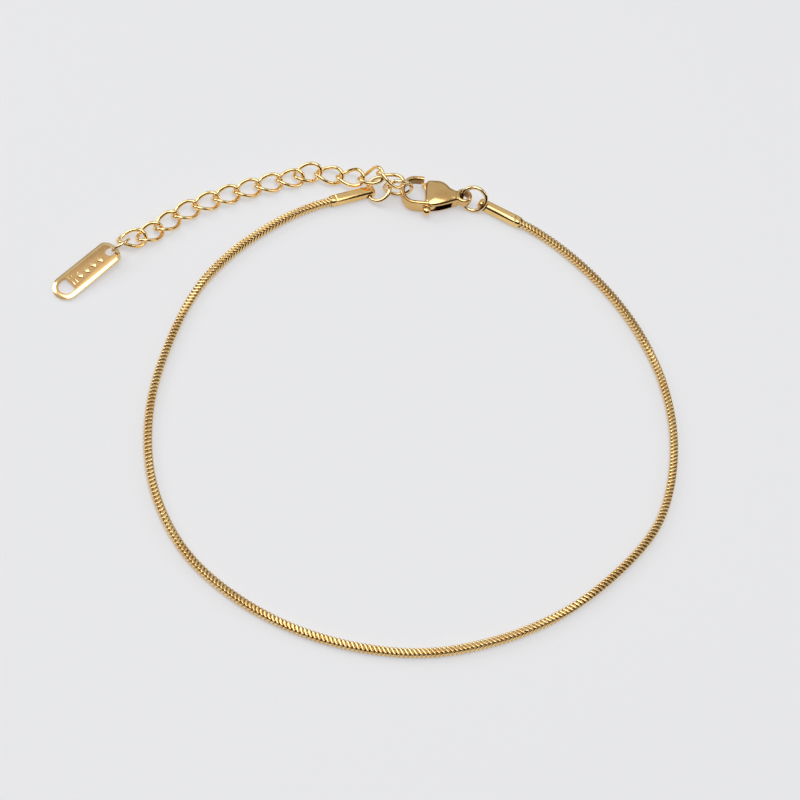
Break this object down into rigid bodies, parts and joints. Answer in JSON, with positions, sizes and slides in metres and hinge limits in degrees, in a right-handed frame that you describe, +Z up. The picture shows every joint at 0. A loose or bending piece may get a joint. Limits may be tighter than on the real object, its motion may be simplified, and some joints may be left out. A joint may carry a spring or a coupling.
{
  "type": "chain anklet",
  "caption": "Square snake chain anklet lying closed, with end caps, a lobster clasp on jump rings, and a curb link extender that ends in a small tag.",
  "frame": {"origin": "middle of the anklet's box in plan, on the surface that it lies on", "axes": "+X from the tag's side of the loop to its far side, +Y from the loop's front to the clasp, +Z up"},
  "size_m": [0.085, 0.0708, 0.0048],
  "materials": {
    "chain_gold": "polished plates with fine ribs",
    "cap_gold": "polished",
    "ring_gold": "polished wire",
    "clasp_gold": "cast and tumbled, satin polish",
    "link_gold": "bright polished wire",
    "tag_gold": "stamped sheet, satin face and polished edge"
  },
  "bodies": {
    "anklet": {"snake_chain": "chain_gold", "end_cap_left": "cap_gold", "end_cap_right": "cap_gold", "jump_ring_left": "ring_gold", "jump_ring_hook": "ring_gold", "jump_ring_clasp": "ring_gold", "clasp_body": "clasp_gold", "tag_ring": "ring_gold", "tag": "tag_gold", "extender_link_01": "link_gold", "extender_link_02": "link_gold", "extender_link_03": "link_gold", "extender_link_04": "link_gold", "extender_link_05": "link_gold", "extender_link_06": "link_gold", "extender_link_07": "link_gold", "extender_link_08": "link_gold", "extender_link_09": "link_gold", "extender_link_10": "link_gold", "extender_link_11": "link_gold", "extender_link_12": "link_gold", "extender_link_13": "link_gold", "extender_link_14": "link_gold"},
    "lever": {"clasp_lever": "clasp_gold"}
  },
  "joints": [
    {"name": "lever_hinge", "type": "hinge", "parent": "anklet", "child": "lever", "pos_m": [0.00649, 0.03292, 0.00122], "axis": [0, 0, 1], "range_deg": [0, 18], "stiffness_Nm_per_rad": 0.0008}
  ]
}
